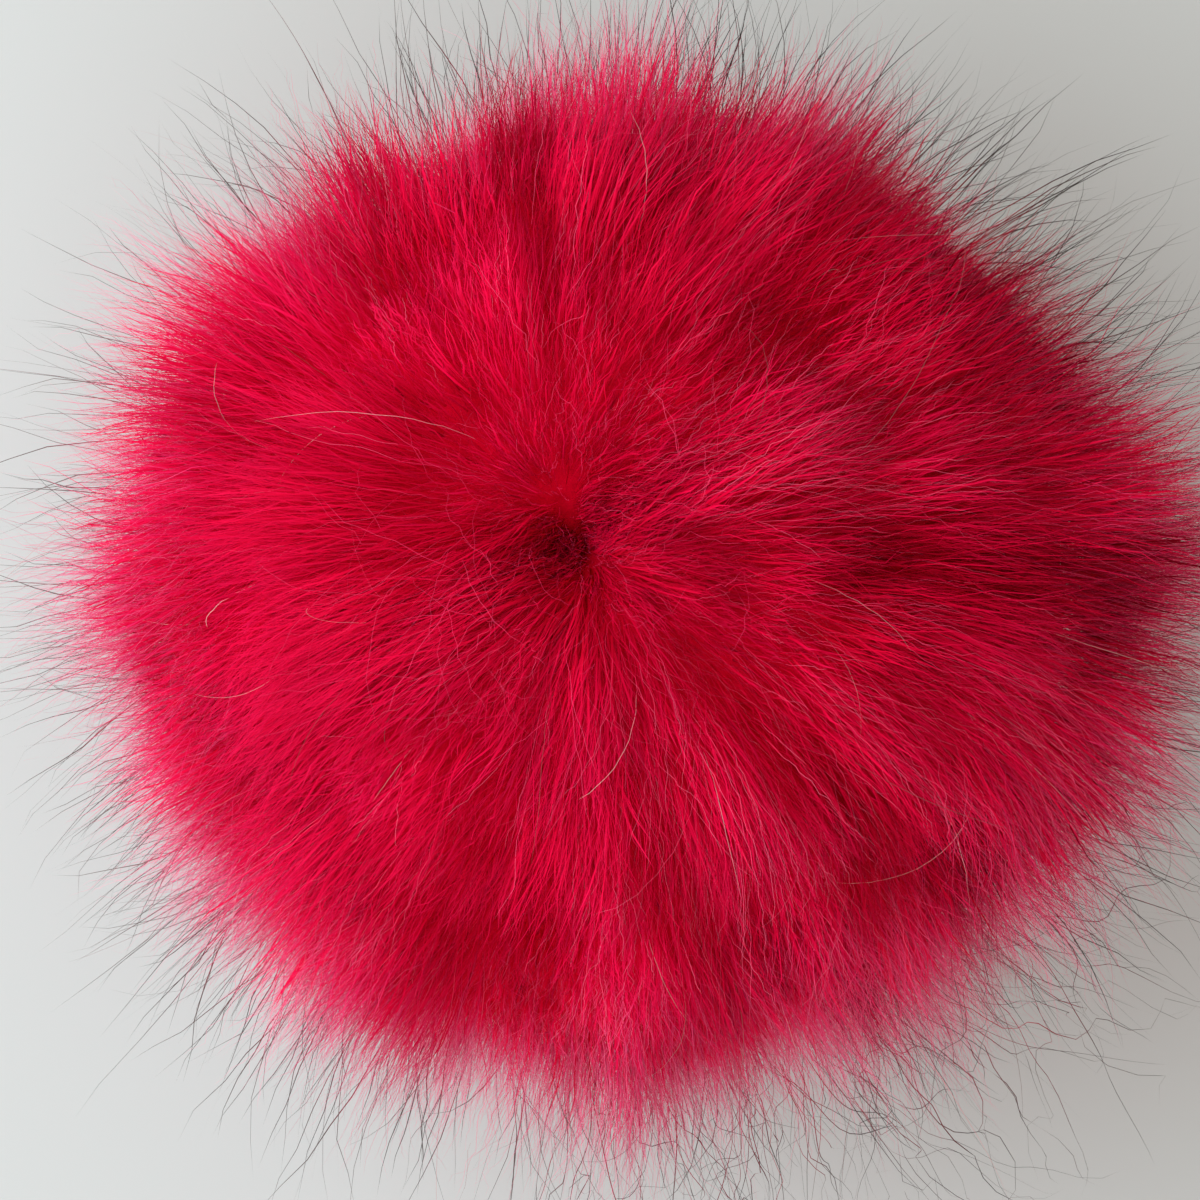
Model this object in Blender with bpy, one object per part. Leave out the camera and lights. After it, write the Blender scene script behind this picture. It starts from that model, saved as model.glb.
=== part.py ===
"""A dyed long-haired fur pom pom, lying on its gathered back with its crown up.

The solid is a backing, a flattened ball that stands on a small flat foot, with locks of fur
rooted in it. The locks stand in bands round the crown, staggered like bricks. They part at a
dimple beside the middle, arch outwards, stand straight out at the waist and lie level on the
floor under it. Metres, +Z up, with the origin on the floor under the middle of the part.
"""

import math
import random
from collections import namedtuple

import bmesh
import bpy
from mathutils import Vector

# The backing: a half ellipse above the waist and a deeper one below, cut off by the foot.
WAIST_RADIUS = 0.047
WAIST_HEIGHT = 0.045
CROWN_RISE = 0.040
FOOT_RADIUS = 0.022

# The crown's parting, which lies beside the middle.
CROWN_X = -0.004
CROWN_Y = 0.009
DIMPLE_DEPTH = 0.009
DIMPLE_RADIUS = 0.012

# The bands of locks, from the crown to the foot. The locks turn and sway least at the crown,
# where they have the least room.
BANDS = 14
LOCKS_IN_A_BAND = 20
FIRST_EDGE_DEG = 8
ROOT_SHARE = 0.88
UNEVEN_LENGTH = 0.18
UNEVEN_TURN_DEG = 4
UNEVEN_SWAY_DEG = 7
UNEVEN_LIFT_DEG = 3
SEED = 15

# How a lock leans: its steepness above level is a share of the backing's own. Under the waist
# that share falls to nothing at the floor, so the last band lies level on it.
ROOT_STEEPNESS = 0.82
TIP_STEEPNESS = 0.30
DROOP_DEG = 5
LOCK_STEPS = 12

# The fur's colour, roughness and metallic value.
RASPBERRY = (0.53, 0.004, 0.03, 1.0)
ROUGHNESS = 0.7
METALLIC = 0.0

# How long the locks are, by the angle of their root from the crown.
Length = namedtuple("Length", "from_crown_deg metres")
LENGTHS = (
    Length(from_crown_deg=8, metres=0.019),
    Length(from_crown_deg=50, metres=0.026),
    Length(from_crown_deg=90, metres=0.027),
    Length(from_crown_deg=125, metres=0.024),
    Length(from_crown_deg=152, metres=0.015),
)

# A lock's cross-sections past its root, by how far along it they are.
Section = namedtuple("Section", "along width")
SECTIONS = (
    Section(along=0.36, width=0.90),
    Section(along=0.72, width=0.58),
    Section(along=1.00, width=0.16),
)

# Mounds and creases that run out from the crown. Azimuth 0 is +X, and 90 is +Y.
Ridge = namedtuple("Ridge", "azimuth_deg half_width_deg rise")
RIDGES = (
    Ridge(azimuth_deg=170, half_width_deg=26, rise=0.0030),
    Ridge(azimuth_deg=5, half_width_deg=11, rise=-0.0035),
    Ridge(azimuth_deg=-62, half_width_deg=16, rise=0.0030),
    Ridge(azimuth_deg=-96, half_width_deg=10, rise=-0.0040),
    Ridge(azimuth_deg=70, half_width_deg=20, rise=0.0020),
)

LAST_EDGE_DEG = 180 - math.degrees(math.asin(FOOT_RADIUS / WAIST_RADIUS))
FOOT_DROP = WAIST_HEIGHT / -math.cos(math.radians(LAST_EDGE_DEG))
RING_POINTS = 2 * LOCKS_IN_A_BAND


def clear_scene():
    for obj in list(bpy.data.objects):
        bpy.data.objects.remove(obj, do_unlink=True)


def between(x, table, key, value):
    """The value at x, on straight lines between the table's rows."""
    rows = [(getattr(row, key), getattr(row, value)) for row in table]
    if x <= rows[0][0]:
        return rows[0][1]
    for (x0, y0), (x1, y1) in zip(rows, rows[1:]):
        if x <= x1:
            return y0 + (y1 - y0) * (x - x0) / (x1 - x0)
    return rows[-1][1]


def ridge_rise(azimuth):
    """How far the mounds and creases raise the fur at this azimuth."""
    total = 0.0
    for ridge in RIDGES:
        off = math.degrees(azimuth) - ridge.azimuth_deg
        off = (off + 180) % 360 - 180
        total += ridge.rise * math.exp(-((off / ridge.half_width_deg) ** 2))
    return total


def outward(azimuth, steepness):
    """The direction at this azimuth, raised above level by steepness."""
    level = math.cos(steepness)
    return Vector((level * math.cos(azimuth), level * math.sin(azimuth), math.sin(steepness)))


def backing_steepness(angle):
    """How steep the plain backing's outward direction is, at this angle from the crown."""
    rise = CROWN_RISE if angle < math.pi / 2 else FOOT_DROP
    return math.atan2(math.cos(angle) / rise, math.sin(angle) / WAIST_RADIUS)


def backing_point(angle, azimuth):
    """The backing's point at this angle from the crown. The bands' middle drifts to the parting."""
    radius = WAIST_RADIUS * math.sin(angle)
    rise = CROWN_RISE if angle < math.pi / 2 else FOOT_DROP
    towards_crown = max(math.cos(angle), 0.0)
    drift = towards_crown**2
    point = Vector((CROWN_X * drift, CROWN_Y * drift, WAIST_HEIGHT + rise * math.cos(angle)))
    point += radius * outward(azimuth, 0.0)
    swell = ridge_rise(azimuth) * math.sin(angle) * towards_crown**0.5
    point += swell * outward(azimuth, backing_steepness(angle))
    point.z -= DIMPLE_DEPTH * towards_crown * math.exp(-((radius / DIMPLE_RADIUS) ** 2))
    return point


def lock_path(root, azimuth, sway, steepness, length):
    """The lock's middle at each cross-section, from its root. Its lean grows along it."""
    height = min(root.z / WAIST_HEIGHT, 1.0)
    start = ROOT_STEEPNESS * steepness * height
    end = (TIP_STEEPNESS * steepness - math.radians(DROOP_DEG)) * height
    points = [root.copy()]
    for step in range(LOCK_STEPS):
        share = (step + 0.5) / LOCK_STEPS
        way = outward(azimuth + sway * share, start + (end - start) * share)
        points.append(points[-1] + way * length / LOCK_STEPS)
    return [points[round(section.along * LOCK_STEPS)] for section in SECTIONS]


def add_lock(mesh, corners, path, lies_on_floor):
    """A four-sided tapering lock on the quad of corners, which closes over its root."""
    root = sum((corner.co for corner in corners), Vector()) / len(corners)
    below = corners
    for section, middle in zip(SECTIONS, path):
        spots = [middle + (corner.co - root) * section.width for corner in corners]
        if lies_on_floor:
            lowest = min(spot.z for spot in spots)
            spots = [spot - Vector((0, 0, lowest)) for spot in spots]
        ring = [mesh.verts.new(spot) for spot in spots]
        for i in range(len(ring)):
            after = (i + 1) % len(ring)
            mesh.faces.new((below[i], below[after], ring[after], ring[i]))
        below = ring
    mesh.faces.new(below)


def add_brick(mesh, upper, lower, chance, angle, azimuth, band):
    """One brick of the backing, with three points on each edge, and the lock on it."""
    ends = (upper[0], upper[2], lower[2], lower[0])
    middle = sum((end.co for end in ends), Vector()) / len(ends)
    quad = [mesh.verts.new(middle + (end.co - middle) * ROOT_SHARE) for end in ends]
    mesh.faces.new((quad[0], quad[1], upper[2], upper[1], upper[0]))
    mesh.faces.new((quad[1], quad[2], lower[2], upper[2]))
    mesh.faces.new((quad[2], quad[3], lower[0], lower[1], lower[2]))
    mesh.faces.new((quad[3], quad[0], upper[0], lower[0]))
    length = between(math.degrees(angle), LENGTHS, "from_crown_deg", "metres")
    length *= 1 + chance.uniform(-UNEVEN_LENGTH, UNEVEN_LENGTH)
    room = math.sin(angle)
    turn = room * math.radians(chance.uniform(-UNEVEN_TURN_DEG, UNEVEN_TURN_DEG))
    sway = room * math.radians(chance.uniform(-UNEVEN_SWAY_DEG, UNEVEN_SWAY_DEG))
    lift = math.radians(chance.uniform(-UNEVEN_LIFT_DEG, UNEVEN_LIFT_DEG))
    path = lock_path(middle, azimuth + turn, sway, backing_steepness(angle) + lift, length)
    add_lock(mesh, quad, path, lies_on_floor=band == BANDS - 1)


def fur_mesh():
    chance = random.Random(SEED)
    mesh = bmesh.new()
    edges = []
    for band in range(BANDS + 1):
        share = band / BANDS
        edges.append(math.radians(FIRST_EDGE_DEG + (LAST_EDGE_DEG - FIRST_EDGE_DEG) * share))
    turns = [2 * math.pi * i / RING_POINTS for i in range(RING_POINTS)]
    rings = [[mesh.verts.new(backing_point(angle, turn)) for turn in turns] for angle in edges]
    for band in range(BANDS):
        angle = (edges[band] + edges[band + 1]) / 2
        for lock in range(LOCKS_IN_A_BAND):
            first = 2 * lock + band % 2
            columns = [(first + i) % RING_POINTS for i in range(3)]
            upper = [rings[band][i] for i in columns]
            lower = [rings[band + 1][i] for i in columns]
            azimuth = 2 * math.pi * (first + 1) / RING_POINTS
            add_brick(mesh, upper, lower, chance, angle, azimuth, band)
    pit = mesh.verts.new(backing_point(0.0, 0.0))
    for i in range(RING_POINTS):
        mesh.faces.new((pit, rings[0][i], rings[0][(i + 1) % RING_POINTS]))
    mesh.faces.new(list(reversed(rings[-1])))
    bmesh.ops.recalc_face_normals(mesh, faces=mesh.faces)
    return mesh


def centred(mesh):
    """Moves the mesh so that the middle of its box is over the origin."""
    for axis in (0, 1):
        places = [vert.co[axis] for vert in mesh.verts]
        shift = (min(places) + max(places)) / 2
        for vert in mesh.verts:
            vert.co[axis] -= shift


def fur_material():
    material = bpy.data.materials.new("raspberry_fur")
    material.use_nodes = True
    shader = material.node_tree.nodes["Principled BSDF"]
    shader.inputs["Base Color"].default_value = RASPBERRY
    shader.inputs["Roughness"].default_value = ROUGHNESS
    shader.inputs["Metallic"].default_value = METALLIC
    material.diffuse_color = RASPBERRY
    return material


def make_pom_pom():
    mesh = fur_mesh()
    centred(mesh)
    data = bpy.data.meshes.new("fur_pom_pom")
    mesh.to_mesh(data)
    mesh.free()
    data.materials.append(fur_material())
    pom_pom = bpy.data.objects.new("fur_pom_pom", data)
    bpy.context.scene.collection.objects.link(pom_pom)


def main():
    clear_scene()
    make_pom_pom()


main()
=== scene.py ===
"""The looks of the pom pom: dyed long-haired fur, combed out from a parted crown.

Every hair is real geometry. A solid ball of fur stands behind them and the underfur hides it.
The top coat lies over that in locks, tufts and wisps, with a frizz of lighter hairs among it.
Past the rim the fur thins out to a curly fuzz. Long guard hairs with dark ends stand out of
it, long curled hairs hang over its lower right, and a few stray hairs lie across it all.
Metres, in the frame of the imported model.
"""

import math
from collections import namedtuple

import bpy
import numpy as np
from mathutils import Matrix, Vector
from mathutils.kdtree import KDTree


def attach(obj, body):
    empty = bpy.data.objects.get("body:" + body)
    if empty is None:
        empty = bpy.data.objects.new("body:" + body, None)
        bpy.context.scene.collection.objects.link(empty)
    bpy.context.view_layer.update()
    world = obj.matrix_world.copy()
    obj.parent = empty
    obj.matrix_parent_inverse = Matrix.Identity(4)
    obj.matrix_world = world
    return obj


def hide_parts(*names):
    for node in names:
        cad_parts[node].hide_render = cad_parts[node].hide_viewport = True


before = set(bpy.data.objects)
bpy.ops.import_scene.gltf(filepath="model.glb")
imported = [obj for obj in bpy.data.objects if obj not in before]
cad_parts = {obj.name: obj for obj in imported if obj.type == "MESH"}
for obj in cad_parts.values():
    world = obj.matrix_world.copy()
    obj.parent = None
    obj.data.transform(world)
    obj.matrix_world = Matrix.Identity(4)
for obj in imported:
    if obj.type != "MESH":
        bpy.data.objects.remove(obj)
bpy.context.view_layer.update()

NODE = "fur_pom_pom"
BODY = "root"
SEED = 4
TURN = 2 * math.pi
UP = np.array((0.0, 0.0, 1.0))


# ---------------------------------------------------------------- the fur's form

# The backing, with its crown's parting beside the middle.
WAIST_RADIUS = 0.047
WAIST_HEIGHT = 0.045
CROWN_RISE = 0.040
FOOT_RADIUS = 0.022
CROWN_X = -0.0045
CROWN_Y = 0.0065
DIMPLE_DEPTH = 0.0062
DIMPLE_RADIUS = 0.0048
FOOT_ANGLE = math.pi - math.asin(FOOT_RADIUS / WAIST_RADIUS)
FOOT_DROP = WAIST_HEIGHT / -math.cos(FOOT_ANGLE)

# How a hair leans: its steepness above level is a share of the backing's own. It droops as it
# grows, most on the shoulder, and half of what lifts its root lifts its tip.
ROOT_STEEPNESS = 0.80
TIP_STEEPNESS = 0.16
TIP_LIFT = 0.5
DROOP = math.radians(5)
SHOULDER_DROOP = math.radians(13)

# No hair goes through the floor. Over the ceiling and past the fence, hairs ease off and stay
# within the give.
FLOOR_CLEARANCE = 0.0004
CEILING = 0.100
CEILING_GIVE = 0.006
FENCE = 0.080
FENCE_GIVE = 0.009

# The fur parts along a short line at the crown, and lies away from it on both sides. Roots
# stand closer together round it, by this much at the crown and less past this angle.
PARTING_START = np.array((-0.0068, 0.0107))
PARTING_END = np.array((-0.0036, 0.0047))
CROWN_CROWDING = 0.25
CROWDED_ANGLE = 0.25
PLANTED_BANDS = 200

# How long the dense fur is, by the angle of its root from the crown.
Length = namedtuple("Length", "from_crown_deg metres")
LENGTHS = (
    Length(0, 0.004),
    Length(5, 0.009),
    Length(14, 0.018),
    Length(50, 0.020),
    Length(75, 0.0155),
    Length(90, 0.0130),
    Length(125, 0.0150),
    Length(152, 0.0150),
)

# How far the fur reaches out round the rim, as shares of its usual length there: the dense fur
# and the haze of single hairs past it. Azimuth 0 is +X, and 90 is +Y. The higher the sharpness,
# the closer to the waist this holds.
Reach = namedtuple("Reach", "azimuth_deg dense haze")
REACHES = (
    Reach(-180, 1.00, 1.04),
    Reach(-150, 0.75, 0.86),
    Reach(-120, 0.65, 0.88),
    Reach(-107, 0.60, 0.82),
    Reach(-90, 0.70, 0.98),
    Reach(-68, 0.60, 0.98),
    Reach(-40, 0.60, 1.02),
    Reach(-15, 1.20, 1.20),
    Reach(5, 2.00, 1.60),
    Reach(20, 1.50, 1.30),
    Reach(35, 1.15, 0.98),
    Reach(60, 0.95, 0.82),
    Reach(90, 0.90, 0.92),
    Reach(105, 0.80, 0.88),
    Reach(118, 0.50, 0.84),
    Reach(135, 0.45, 0.98),
    Reach(160, 0.95, 1.08),
)
RIM_SHARPNESS = 4

# Mounds and creases that run out from the crown, each strongest at an angle from the crown and
# fading over its width and its reach. Fur leans towards the middle of a mound, and away from a
# crease.
Ridge = namedtuple("Ridge", "azimuth_deg width_deg from_crown_deg reach_deg rise gather_deg")
RIDGES = (
    Ridge(176, 20, 62, 34, 0.0026, 5),
    Ridge(157, 7, 38, 16, -0.0024, -3),
    Ridge(135, 14, 50, 32, 0.0044, 4),
    Ridge(119, 6, 34, 14, -0.0020, -2),
    Ridge(112, 15, 8, 9, -0.0030, 0),
    Ridge(104, 7, 44, 20, 0.0034, 5),
    Ridge(96, 6, 30, 16, -0.0022, -4),
    Ridge(76, 7, 60, 24, 0.0022, 4),
    Ridge(57, 10, 46, 20, 0.0030, 5),
    Ridge(65, 7, 14, 8, -0.0032, -3),
    Ridge(30, 10, 78, 18, -0.0028, -3),
    Ridge(25, 11, 22, 16, 0.0034, 5),
    Ridge(3, 9, 36, 26, -0.0042, -5),
    Ridge(-16, 7, 55, 22, 0.0022, 4),
    Ridge(-26, 8, 22, 13, 0.0036, 5),
    Ridge(-40, 6, 36, 20, -0.0028, -4),
    Ridge(-54, 9, 32, 18, 0.0038, 6),
    Ridge(-68, 6, 55, 24, -0.0026, -4),
    Ridge(-84, 8, 48, 26, 0.0044, 7),
    Ridge(-101, 7, 34, 28, -0.0052, -6),
    Ridge(-124, 14, 66, 24, 0.0032, 5),
    Ridge(-135, 8, 26, 14, 0.0024, 4),
    Ridge(-152, 7, 46, 24, -0.0030, -4),
)

# Where the fur is swept sideways, towards a greater azimuth where the sway is over 0.
Sweep = namedtuple("Sweep", "azimuth_deg from_crown_deg width_deg sway_deg")
SWEEPS = (
    Sweep(128, 35, 20, -30),
    Sweep(160, 45, 18, 18),
    Sweep(70, 40, 16, -18),
    Sweep(30, 35, 16, 16),
    Sweep(-33, 48, 23, -40),
    Sweep(-70, 58, 14, 12),
    Sweep(-120, 40, 18, -18),
    Sweep(-160, 40, 20, 22),
)

# The ball that the fur's surface follows, for the way that hairs face, and how strongly mounds,
# locks and tufts turn them. A lock and a tuft are about this far from their middle to their edge.
BALL_RADIUS = 0.064
BALL_RISE = 0.050
RIDGE_RELIEF = 2.4
LOCK_RELIEF = 0.80
TUFT_RELIEF = 0.22
LOCK_HALF = 0.005
TUFT_HALF = 0.0019
SLOPE_STEP = 0.02

# A ribbon faces out of the ball and a little up, give or take a part, and rolls by chance, though
# never more than this. It is shaded mostly as the ball is there, and a little as its own front.
FACE_UP = 0.6
FACE_UNEVENNESS = 0.2
COAT_ROLL_DEG = 35
MOST_ROLL = 1.4
FRONT_SHARE = 0.14


# ---------------------------------------------------------------- locks, tufts and wisps

# The guides that hairs are drawn to. Each level is planted between two angles from the crown and
# stirred. Key noise is how much lighter or darker one is than the next.
Level = namedtuple("Level", "count from_deg to_deg turn_deg sway_deg lift_deg length_noise key_noise")
LOCKS = Level(200, 2, 150, turn_deg=8, sway_deg=16, lift_deg=13, length_noise=0.18, key_noise=0.10)
TUFTS = Level(1900, 0, 151, turn_deg=4, sway_deg=10, lift_deg=5, length_noise=0.08, key_noise=0.07)
WISPS = Level(9000, 0, 151, turn_deg=4, sway_deg=10, lift_deg=5, length_noise=0.08, key_noise=0.04)
MOST_LENGTH_NOISE = 0.4

# There is less room to turn at the crown.
ROOM_AT_CROWN = 0.6

# How far locks and tufts draw their fur together. The pull grows along a hair as this power, up
# to a most.
LOCK_PULL = 0.62
TUFT_PULL = 0.38
WISP_PULLS = (0.4, 1.5)
PULL_GROWTH = 1.3
PULL_END = 1.2
MOST_PULL = 0.95

# How unevenly whole locks and tufts reach, and how much shorter the hair at a lock's edge is than
# in its middle. It has its usual reach at this share of the way to the edge.
LOCK_REACH_NOISE = 0.16
TUFT_REACH_NOISE = 0.18
LOCK_POINT = 0.22
LOCK_POINT_AT = 0.6


# ---------------------------------------------------------------- the coats of fur

# Each coat is one piece. Its roots lie from from_deg to to_deg from the crown, and rim says which
# reach it has there. A hair shows from the share bare of its length up to its own share, which is
# spread round reach. Gather is how far its wisp draws it, and stray how far it strays. Wave is how
# far its crimp swings, and favour how far it keeps to the mounds and the right side. Key, from 0
# to 1, is how light it is in its dye, before the painted light and shade of the mounds, creases,
# pit and right side are added to it.
Coat = namedtuple(
    "Coat",
    "name dye rim hairs points from_deg to_deg width tip bare reach spread"
    " gather stray_deg crinkle wave favour key",
)
COATS = (
    Coat(
        name="underfur_crown", dye="deep_fur", rim="dense", hairs=11000, points=4, from_deg=0, to_deg=66,
        width=0.00021, tip=0.5, bare=0.47, reach=0.80, spread=0.10,
        gather=0.26, stray_deg=9, crinkle=0.00020, wave=0, favour=0, key=0.45,
    ),
    Coat(
        name="underfur_side", dye="rosy_fur", rim="dense", hairs=18000, points=3, from_deg=60, to_deg=112,
        width=0.00014, tip=0.3, bare=0.20, reach=0.50, spread=0.18,
        gather=0.25, stray_deg=10, crinkle=0.00024, wave=0, favour=0, key=0.60,
    ),
    Coat(
        name="underfur_below", dye="deep_fur", rim="dense", hairs=6000, points=3, from_deg=106, to_deg=151,
        width=0.00024, tip=0.3, bare=0.25, reach=0.70, spread=0.16,
        gather=0.25, stray_deg=10, crinkle=0.00024, wave=0, favour=0, key=0.50,
    ),
    Coat(
        name="top_coat_crown", dye="deep_fur", rim="dense", hairs=19000, points=5, from_deg=0, to_deg=50,
        width=0.00008, tip=0.4, bare=0.43, reach=1.00, spread=0.14,
        gather=0.19, stray_deg=12, crinkle=0.00036, wave=0, favour=0, key=0.50,
    ),
    Coat(
        name="top_coat_shoulder", dye="rosy_fur", rim="dense", hairs=19000, points=5, from_deg=44, to_deg=76,
        width=0.000075, tip=0.3, bare=0.42, reach=0.92, spread=0.22,
        gather=0.21, stray_deg=13, crinkle=0.00042, wave=0, favour=0, key=0.50,
    ),
    Coat(
        name="top_coat_waist", dye="pale_fur", rim="haze", hairs=22000, points=5, from_deg=66, to_deg=106,
        width=0.000052, tip=0.2, bare=0.32, reach=0.97, spread=0.32,
        gather=0.46, stray_deg=12, crinkle=0.00042, wave=0, favour=0, key=0.42,
    ),
    Coat(
        name="top_coat_below", dye="pale_fur", rim="haze", hairs=4500, points=5, from_deg=102, to_deg=150,
        width=0.00009, tip=0.2, bare=0.40, reach=1.00, spread=0.30,
        gather=0.30, stray_deg=10, crinkle=0.00030, wave=0, favour=0, key=0.30,
    ),
    Coat(
        name="rim_fuzz", dye="pale_fur", rim="haze", hairs=8800, points=12, from_deg=60, to_deg=106,
        width=0.00004, tip=0.4, bare=0.38, reach=1.12, spread=0.34,
        gather=0.32, stray_deg=17, crinkle=0.00012, wave=0.00036, favour=0, key=0.60,
    ),
    Coat(
        name="frizz", dye="bright_fur", rim="haze", hairs=4300, points=14, from_deg=10, to_deg=90,
        width=0.00004, tip=0.4, bare=0.50, reach=1.05, spread=0.14,
        gather=0.26, stray_deg=17, crinkle=0.00006, wave=0.00015, favour=1.2, key=0.42,
    ),
    Coat(
        name="crown_frizz", dye="bright_fur", rim="haze", hairs=800, points=12, from_deg=0, to_deg=20,
        width=0.000036, tip=0.4, bare=0.30, reach=1.00, spread=0.20,
        gather=0.10, stray_deg=38, crinkle=0.00010, wave=0.00020, favour=0, key=0.00,
    ),
)

# A hair near the crown shows from nearer its root: its bare share shrinks within this angle, to
# this much of itself. Its own share is at least LEAST_SHOWN past its coat's bare one, and at most
# MOST_REACH of its coat's reach and MOST_SPREAD of its spread.
BARED_ANGLE = math.radians(16)
LEAST_BARED = 0.25
LEAST_SHOWN = 0.2
MOST_REACH = 1.15
MOST_SPREAD = 2.0

# One hair against the next: its length, its sway against its other strays, its crinkle against
# its wisp's, its key and its width.
HAIR_LENGTH_NOISE = 0.04
HAIR_SWAY = 1.6
HAIR_CRINKLE = 0.7
HAIR_KEY_NOISE = 0.035
HAIR_SIZES = (0.7, 1.3)

# The crinkle at a root against that at a tip, and where a hair is widest.
CRINKLE_AT_ROOT = 0.3
WIDEST_AT = 0.4
ROOT_WIDTH = 0.9

# The crimp: its wavelengths, how its swing varies, and its bob in and out against the swing.
WAVELENGTHS = (0.0018, 0.0042)
WAVE_SIZES = (0.3, 1.5)
BOB_SIZE = 0.5
BOB_PACE = 0.8

# How a coat that favours places picks them: from so many times its hairs, by a mound's rise and
# by how far right they are, give or take the noise.
FAVOUR_CHOICES = 3
FAVOUR_RISE = 0.003
FAVOUR_NOISE = 1.2

# Painted shade and light: how much darker the fur is painted in a crease, on the right side away
# from the left window and in the pit at the crown, in parts of its key. The left side is painted
# lighter by the same right-side term. A crease counts by the metre, and a mound's rise paints it lighter.
CREASE_SHADE = 62.0
RIGHT_SHADE = 0.22
RIGHT_AZIMUTH = 0.3
PIT_SHADE = 0.20
PIT_RADIUS = 0.0060

# Fine streaks of lighter and darker fur that run down from the crown: how many stand round it,
# how they lean, where they start, and how much lighter they are.
Streak = namedtuple("Streak", "number lean shift size")
STREAKS = (
    Streak(7, 1.5, 0.4, 0.05),
    Streak(13, -2.5, 2.1, 0.06),
    Streak(23, 3.0, 4.0, 0.06),
    Streak(41, -4.0, 1.2, 0.05),
)


# ---------------------------------------------------------------- long single hairs

# Roots from from_deg to to_deg from the crown, out from the backing. Bare is the share of the
# length that is left out at the root, and bend how far the tip bends aside.
LongHair = namedtuple(
    "LongHair",
    "name dye hairs points from_deg to_deg out turn_deg sway_deg lift_deg bare bend"
    " width sizes widest_at tip roll_deg",
)
GUARD = LongHair(
    name="guard_hairs", dye="guard_hair", hairs=2000, points=8, from_deg=71, to_deg=122, out=0.003,
    turn_deg=9, sway_deg=16, lift_deg=10, bare=0.0, bend=0.0032,
    width=0.00011, sizes=(0.6, 1.3), widest_at=0.55, tip=0.2, roll_deg=60,
)
CURLED = LongHair(
    name="curled_hairs", dye="guard_hair", hairs=230, points=20, from_deg=72, to_deg=118, out=0.003,
    turn_deg=14, sway_deg=35, lift_deg=12, bare=0.2, bend=0.009,
    width=0.00009, sizes=(0.6, 1.3), widest_at=0.6, tip=0.3, roll_deg=60,
)
STRAY = LongHair(
    name="stray_hairs", dye="stray_hair", hairs=100, points=14, from_deg=12, to_deg=88, out=0.0,
    turn_deg=12, sway_deg=38, lift_deg=5, bare=0.3, bend=0.010,
    width=0.000055, sizes=(0.7, 1.3), widest_at=0.7, tip=0.3, roll_deg=35,
)
LONG_ROOT_WIDTH = 0.7
HOOK_SIZE = 0.7
CURL_LENGTH = 0.009
CURL_LENGTHS = (0.7, 1.6)
CURL_GROWTH = 0.7

# The guard hairs round the rim: how many stand at each azimuth against the rest, how long they
# are, how pale, and how far they curl.
Guard = namedtuple("Guard", "azimuth_deg crowd length key curl")
GUARDS = (
    Guard(-180, 0.60, 0.022, 0.80, 0.0004),
    Guard(-150, 0.75, 0.021, 0.75, 0.0004),
    Guard(-125, 0.95, 0.022, 0.50, 0.0004),
    Guard(-95, 0.30, 0.021, 0.60, 0.0004),
    Guard(-60, 0.18, 0.022, 0.50, 0.0005),
    Guard(-30, 0.45, 0.024, 0.40, 0.0004),
    Guard(0, 1.10, 0.023, 0.12, 0.0004),
    Guard(45, 1.60, 0.022, 0.05, 0.0002),
    Guard(80, 1.50, 0.020, 0.12, 0.0002),
    Guard(110, 1.00, 0.020, 0.35, 0.0003),
    Guard(140, 0.80, 0.022, 0.60, 0.0003),
)
GUARD_CHOICES = 3
GUARD_LENGTH_NOISE = 0.25
GUARD_LENGTHS = (0.45, 1.45)
GUARD_KEY_NOISE = 0.15

# Guard hairs draw together into clumps, up to this far, and a clump bends this much.
CLUMPS = 330
CLUMP_SWAY_DEG = 20
CLUMP_PULL = 0.9
CLUMP_BEND = 0.0004

# The long hairs that curl past the rim fan out round this azimuth.
CURLED_CHOICES = 8
CURLED_AZIMUTH = math.radians(-62)
CURLED_FAN = math.radians(26)
CURLED_LENGTH = 0.027
CURLED_LENGTH_NOISE = 0.006
CURLED_LENGTHS = (0.014, 0.038)
CURLED_SIZE = 0.0016
CURLED_SIZES = (0.3, 1.5)
CURLED_KEY = 0.40
CURLED_KEY_NOISE = 0.25

# The stray hairs lie higher than the coat, and some of them are dark.
STRAY_LIFT = math.radians(10)
STRAY_LENGTHS = (0.014, 0.030)
STRAY_WAVE = 0.00006
STRAY_PALE_KEYS = (0.5, 1.0)
STRAY_DARK_KEY = 0.1
STRAY_DARK_SHARE = 0.3


# ---------------------------------------------------------------- colours, floor, light, camera

Stop = namedtuple("Stop", "at colour")
# Darker roots are partly the dye and partly painted shade deep in the coat. A hair's key picks between the
# deep ramp and the light one, and carries painted light and shade.
DEEP_FUR = (
    Stop(0.0, (0.58, 0.0001, 0.010)),
    Stop(0.5, (0.80, 0.0002, 0.028)),
    Stop(1.0, (0.88, 0.0006, 0.046)),
)
LIGHT_FUR = (
    Stop(0.0, (0.82, 0.0003, 0.032)),
    Stop(0.5, (0.94, 0.0020, 0.068)),
    Stop(1.0, (0.96, 0.0150, 0.115)),
)
# Pinker and paler towards the tip: partly the fur's own paler tips, partly a painted sheen.
ROSY_DEEP_FUR = (
    Stop(0.0, (0.64, 0.0002, 0.018)),
    Stop(0.5, (0.86, 0.0030, 0.075)),
    Stop(1.0, (0.94, 0.0600, 0.190)),
)
ROSY_LIGHT_FUR = (
    Stop(0.0, (0.86, 0.0008, 0.052)),
    Stop(0.5, (0.97, 0.0220, 0.145)),
    Stop(1.0, (0.99, 0.1800, 0.350)),
)
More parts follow.
